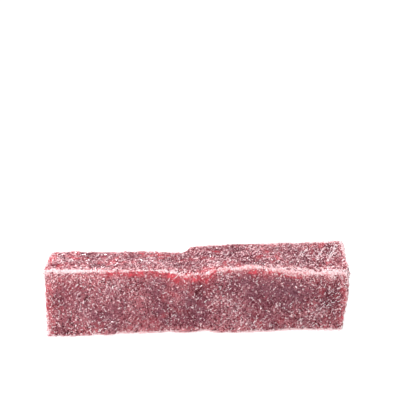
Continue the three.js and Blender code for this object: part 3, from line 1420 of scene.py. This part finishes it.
@dataclass
class CrustFields(Zones):
    """Where the grains of the crust lie.

    Attributes:
        rim_facing: Part of the outward direction that points up and forwards, at the rim.
        line_width: Reach of the bell that makes the crust's line along the front rim.
        line_left: How much wider it is to the left, past line_left_part.
        line_right: How much wider it is at the right, where line_right_share of it is kept.
        lace: Strength of the lace round the line at the right, with its offset and reach.
        edge_reach: Reach of the crust's bell along every other edge.
        edge_spread: How much further it reaches at the right.
        edge_rim_gap: Reach of the bell that keeps it clear of the front rim.
        edge_share: Strength of the crust along every edge. The back rim, the ends and the foot
            add their shares to it.
        end_left_share: Strength of the left end, with the right end as 1.
        foot_right: How much stronger the foot's crust is past foot_right_part.
    """

    rim_facing: Pair = (0.2, 0.6)
    line_width: float = 0.28
    line_left: float = 0.17
    line_left_part: Pair = (20.0, 32.0)
    line_swelling: Stretch = Stretch(10.0, 0.25, 5.5)
    line_right: float = 0.08
    line_waver: Unevenness = Unevenness(1.0, ((0.6, 3.6, 45),))
    line_gaps: tuple[Stretch, ...] = (Stretch(-1.5, 0.7, 6.5), Stretch(-21.0, 0.35, 3.5))
    line_right_share: float = 0.5
    line_breaks: Unevenness = Unevenness(0.6, ((0.8, 0.8, 47), (0.5, 3.1, 48)), 0.05, 1.0)
    lace: tuple[float, float, float] = (0.23, 0.2, 1.6)
    lace_holes: Unevenness = Unevenness(0.35, ((1.3, 0.7, 49),), 0.0, 1.0)
    edge_reach: float = 0.4
    edge_spread: Unevenness = Unevenness(0.05, ((0.5, 2.4, 54),), 0.0, 0.3)
    edge_patches: Unevenness = Unevenness(0.5, ((1.2, 1.1, 53), (0.6, 0.5, 55)), 0.03, 1.0)
    edge_breaks: Unevenness = Unevenness(0.75, ((0.9, 0.75, 57),), 0.1, 1.3)
    edge_rim_gap: float = 1.5
    edge_share: float = 0.25
    back_rim_share: float = 0.5
    back_rim_y: Pair = (0.0, 2.0)
    back_rim_z: Pair = (12.0, 15.0)
    end_share: float = 0.6
    end_left_share: float = 0.2
    end_part: Pair = (26.0, 34.0)
    foot_share: float = 0.8
    foot_height: Pair = (1.0, 3.0)
    foot_right: float = 0.7
    foot_right_part: Pair = (12.0, 30.0)

    def rim_line(self) -> Array:
        """The crust's line along the front rim, with gaps, wider to the left and at a swelling.

        Returns:
            Relative number of grains at each vertex.
        """
        x = self.bar.plain[:, 0]
        wide = self.line_width + self.line_left * smoothstep(-x, *self.line_left_part)
        wide += self.line_swelling.at(x)
        wide += self.line_right * self.rightward()
        line = bell(self.below_rim(), wide * self.uneven(self.line_waver))
        line *= 1 - sum(gap.at(x) for gap in self.line_gaps)
        line *= mix(1, self.line_right_share, self.rightward())
        return line * self.uneven(self.line_breaks)

    def rim_lace(self) -> Array:
        """The crust's lace round the line, where the edge is worn.

        Returns:
            Relative number of grains at each vertex.
        """
        strength, offset, reach = self.lace
        spread = bell(self.below_rim() + offset, reach)
        return strength * self.rightward() * spread * self.uneven(self.lace_holes)

    def other_edges(self) -> Array:
        """The crust of all edges but the front rim, most by the table and at the right end.

        Returns:
            Relative number of grains at each vertex.
        """
        x, y, z = self.bar.plain.T
        reach = self.edge_reach + self.rightward() * self.uneven(self.edge_spread)
        clear_of_rim = 1 - bell(self.below_rim(), self.edge_rim_gap)
        crust = bell(self.bar.to_edge, reach) * clear_of_rim * self.uneven(self.edge_patches)
        crust *= self.uneven(self.edge_breaks)
        back_rim = smoothstep(y, *self.back_rim_y) * smoothstep(z, *self.back_rim_z)
        at_left = self.end_left_share * smoothstep(-x, *self.end_part)
        at_ends = smoothstep(x, *self.end_part) + at_left
        more_at_right = 1 + self.foot_right * smoothstep(x, *self.foot_right_part)
        foot = (1 - smoothstep(z, *self.foot_height)) * more_at_right
        share = self.edge_share + self.back_rim_share * back_rim + self.end_share * at_ends
        return crust * (share + self.foot_share * foot)

    def crust(self) -> Array:
        """The crust: a line along the front rim, lace round it on the right, and other edges.

        Returns:
            Relative number of grains at each vertex.
        """
        facing = -self.bar.outward[:, 1] + self.bar.outward[:, 2]
        near_rim = smoothstep(facing, *self.rim_facing)
        return (self.rim_line() + self.rim_lace()) * near_rim + self.other_edges()


@dataclass
class Paste:
    """The bar of fruit paste under the sugar.

    Attributes:
        shape: Sizes of the bar.
        finish: Its material.
        cells: Number of grid cells along X, Y and Z.
        sugar_layer: How far the paste lies inside the solid.
        off_table: Height of its underside over the table.
        pits: Small pits and bumps.
    """

    shape: BarShape
    finish: PasteFinish
    cells: tuple[int, int, int] = (320, 60, 76)
    sugar_layer: float = 0.15
    off_table: float = 0.045
    pits: Unevenness = Unevenness(0.0, ((0.04, 1.1, 90), (0.05, 0.5, 90)))

    def surface(self) -> Surface:
        """The bar drawn in by the sugar's thickness, with small pits and bumps.

        Returns:
            The paste's surface.
        """
        bar = self.shape.surface(self.cells)
        inward = self.pits.over(bar.plain) - self.sugar_layer
        bar.points = bar.points + bar.normals() * inward[:, None]
        bar.points[:, 2] = np.maximum(bar.points[:, 2], self.off_table)
        return bar

    def build(self, bar: Surface) -> bpy.types.Object:
        """Makes the paste's mesh, with the values that its finish reads.

        Args:
            bar: The paste's surface.

        Returns:
            The finished piece.
        """
        fields = PasteFields(self.shape, bar)
        values = {
            # Painted glow, with the red of the wet places.
            "glow": fields.glow(),
            "haze": fields.haze(),
            "thin": fields.thin(),
            "cut": fields.cut_ends(),
            # Blush: near the edges a painted glow, elsewhere real pink patches.
            "blush_and_edge_glow": fields.blush_and_edge_glow(),
        }
        piece = add_mesh("paste_bar", bar.points, bar.quads, values, True)
        piece.data.materials.append(self.finish.material())
        return piece


@dataclass
class SugarCoat:
    """All the sugar on the bar, from the finest kind of grain to the coarsest, and the crust."""

    shape: BarShape
    bar: Surface
    kinds: tuple[Grains, ...] = (
        Grains(
            "sugar_dust", GrainForm.CHIP, Lie.COAT,
            count=48000, length=(0.1, 0.2), slimness=(0.6, 1.0), tilt=0.6, lift=0.2,
            tint_power=1.6, seed=11,
            finish=SugarFinish(
                "sugar_dust", stained=(0.22, 0.05, 0.074, 1), blushing=(0.66, 0.2, 0.235, 1),
                clean=(0.62, 0.25, 0.3, 1),
                roughness=0.6, shine=0.2,
            ),
        ),
        Grains(
            "sugar_grit", GrainForm.SPLINTER, Lie.COAT,
            count=24000, length=(0.11, 0.19), slimness=(0.6, 0.95), tilt=0.5, lift=0.25,
            tint_power=1.2, seed=15,
            finish=SugarFinish(
                "sugar_grit", stained=(0.25, 0.055, 0.084, 1), blushing=(0.75, 0.29, 0.325, 1),
                clean=(0.96, 0.56, 0.61, 1),
                roughness=0.4, shine=0.3,
            ),
        ),
        Grains(
            "sugar_crystals", GrainForm.BLOCK, Lie.COAT,
            count=16000, length=(0.14, 0.28), slimness=(0.5, 0.85), tilt=0.35, lift=0.25,
            tint_power=1.7, seed=12,
            finish=SugarFinish(
                "sugar_crystal", stained=(0.24, 0.054, 0.082, 1),
                blushing=(0.75, 0.29, 0.325, 1), clean=(1.0, 0.66, 0.7, 1),
                roughness=0.3, shine=0.45,
            ),
        ),
        Grains(
            "sugar_coarse", GrainForm.PRISM, Lie.COAT,
            count=6000, length=(0.26, 0.52), slimness=(0.4, 0.7), tilt=0.35, lift=0.3,
            tint_power=1.0, seed=13,
            finish=SugarFinish(
                "sugar_coarse", stained=(0.34, 0.1, 0.135, 1), blushing=(0.8, 0.36, 0.4, 1),
                clean=(1.0, 0.77, 0.8, 1),
                roughness=0.2, clearness=0.15,
            ),
        ),
        Grains(
            "sugar_needles", GrainForm.PRISM, Lie.STREAK,
            count=520, length=(0.4, 0.75), slimness=(0.18, 0.28), tilt=0.12, lift=0.12,
            tint_power=0.5, seed=16, heading=(2.0, 3.6, 1.8),
            finish=SugarFinish(
                "sugar_needle", stained=(0.6, 0.3, 0.34, 1), blushing=(0.75, 0.4, 0.42, 1),
                clean=(0.92, 0.82, 0.84, 1),
                roughness=0.2,
            ),
        ),
        Grains(
            "sugar_crust", GrainForm.BLOCK, Lie.CRUST,
            count=14600, length=(0.16, 0.36), slimness=(0.4, 0.85), tilt=0.6, lift=0.35,
            tint_power=1.6, seed=14,
            finish=SugarFinish(
                "sugar_crust", stained=(0.46, 0.14, 0.17, 1), blushing=(0.66, 0.21, 0.235, 1),
                clean=(0.92, 0.72, 0.74, 1),
                roughness=0.4, shine=0.3,
            ),
        ),
    )

    def build(self) -> list[bpy.types.Object]:
        """Scatters each kind of grain where it lies: all over, in streaks or along the edges.

        Returns:
            The finished pieces.
        """
        fields = CoatFields(self.shape, self.bar)
        density = {
            Lie.COAT: fields.coat(),
            Lie.STREAK: fields.streaky(),
            Lie.CRUST: CrustFields(self.shape, self.bar).crust(),
        }
        # The blush tints the grains too: near the edges a painted glow, elsewhere real pink.
        traits = {"blush_and_edge_glow": fields.blush_and_edge_glow(), "pale": fields.pale()}
        return [kind.build(self.bar, density[kind.lie], traits) for kind in self.kinds]


def turn_away(back: Array) -> Place:
    """Turn that points an object's -Z away from back and keeps it level."""
    across = math.hypot(back[0], back[1])
    return (math.atan2(across, back[2]), 0.0, math.atan2(back[0], -back[1]))


@dataclass(frozen=True)
class SoftBox:
    """A square area lamp. Its place and side are in metres."""

    name: str
    place: Place
    side: float
    watts: float

    def build(self, target: Place) -> bpy.types.Object:
        """Makes the lamp and turns it to the target.

        Args:
            target: What it points at, in metres.

        Returns:
            The lamp.
        """
        light = bpy.data.lights.new(self.name, "AREA")
        light.shape = "SQUARE"
        light.size = self.side
        light.energy = self.watts
        lamp = bpy.data.objects.new(self.name, light)
        bpy.context.scene.collection.objects.link(lamp)
        lamp.location = self.place
        lamp.rotation_euler = turn_away(np.subtract(self.place, target))
        return lamp


@dataclass
class Studio:
    """Glowing white table, soft light and the camera at the photograph's angle.

    Attributes:
        azimuth: The camera's direction from the strip, in degrees, as elevation is.
        distance: How far away it stands, in millimetres, as aside and above are.
        aside: How far it is moved sideways in its own picture plane, and above upwards.
        lens: Its focal length.
        sensor: Width of its picture, in the same unit.
        nearest: Nearest thing that it sees, in metres.
        sky_strength: Light of the surroundings on the strip.
        sky_seen: Their brightness as the camera sees them.
        floor_side: Width of the table, in metres.
    """

    azimuth: float = -2.436
    elevation: float = 21.283
    distance: float = 195.339
    aside: float = 0.706
    above: float = 29.449
    lens: float = 72.0
    sensor: float = 36.0
    nearest: float = 0.01
    white: Colour = (1.0, 1.0, 1.0, 1)
    sky_strength: float = 0.2
    sky_seen: float = 1.0
    table: Colour = (0.2, 0.2, 0.2, 1)
    table_roughness: float = 0.9
    table_glow: float = 0.98
    floor_side: float = 6.0
    target: Place = (0.0, 0.0, 0.01)
    lamps: tuple[SoftBox, ...] = (
        SoftBox("key_softbox", (-0.2, 0.12, 0.58), 0.25, 4.5),
        SoftBox("front_softbox", (-0.25, -0.26, 0.22), 0.09, 1.35),
    )

    def camera(self) -> bpy.types.Object:
        """Camera on the ray from the strip, moved sideways and up in its own picture plane.

        Returns:
            The camera.
        """
        a, e = math.radians(self.azimuth), math.radians(self.elevation)
        back = np.array([math.sin(a) * math.cos(e), -math.cos(a) * math.cos(e), math.sin(e)])
        right = np.array([math.cos(a), math.sin(a), 0.0])
        up = np.cross(back, right)
        data = bpy.data.cameras.new("camera")
        data.lens = self.lens
        data.sensor_width = self.sensor
        data.clip_start = self.nearest
        camera = bpy.data.objects.new("camera", data)
        bpy.context.scene.collection.objects.link(camera)
        camera.location = (back * self.distance + right * self.aside + up * self.above) * MM
        camera.rotation_euler = turn_away(back)
        bpy.context.scene.camera = camera
        return camera

    def floor(self) -> bpy.types.Object:
        """A plain sheet under the strip, which glows white as a light table does.

        Returns:
            The floor.
        """
        half = self.floor_side / 2 / MM
        corners = half * np.array([[-1, -1, 0], [1, -1, 0], [1, 1, 0], [-1, 1, 0]])
        sheet = add_mesh("floor", corners, np.array([[0, 1, 2, 3]]), {}, False)
        looks = {
            "Base Color": self.table,
            "Roughness": self.table_roughness,
            "Emission Color": self.white,
            "Emission Strength": self.table_glow,
        }
        sheet.data.materials.append(MaterialWiring("floor_white").finish(looks))
        return sheet

    def backdrop(self) -> bpy.types.World:
        """A faint even light from all round, which looks as white as the table beyond its edge.

        Returns:
            The world.
        """
        world = bpy.data.worlds.new("studio")
        world.use_nodes = True
        wiring = Wiring(world.node_tree)
        seen = wiring.add("ShaderNodeLightPath").outputs["Is Camera Ray"]
        faint, bright = (
            wiring.add("ShaderNodeBackground", {"Color": self.white, "Strength": strength})
            for strength in (self.sky_strength, self.sky_seen)
        )
        shades = {0: seen, 1: faint.outputs[0], 2: bright.outputs[0]}
        light = wiring.add("ShaderNodeMixShader", shades)
        wiring.add("ShaderNodeOutputWorld", {"Surface": light.outputs["Shader"]})
        return world

    def build(self) -> None:
        """Sets up the world, the lamps, the floor and the camera."""
        scene = bpy.context.scene
        scene.world = self.backdrop()
        scene.view_settings.view_transform = "Standard"
        for lamp in self.lamps:
            lamp.build(self.target)
        self.floor()
        self.camera()


def dress_strip() -> None:
    """Builds the paste and its sugar and puts them in the place of the plain solid."""
    shape = BarShape()
    paste = Paste(shape, PasteFinish())
    bar = paste.surface()
    body = paste.build(bar)
    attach(body, "root")
    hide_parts("strip")
    log.info("%s: %d faces", body.name, len(body.data.polygons))
    for piece in SugarCoat(shape, bar).build():
        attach(piece, "root")
        log.info("%s: %d faces", piece.name, len(piece.data.polygons))


def main() -> None:
    """Builds the studio and the strip."""
    logging.basicConfig(level=logging.INFO, format="%(name)s: %(message)s")
    Studio().build()
    dress_strip()


if __name__ == "__main__":
    main()
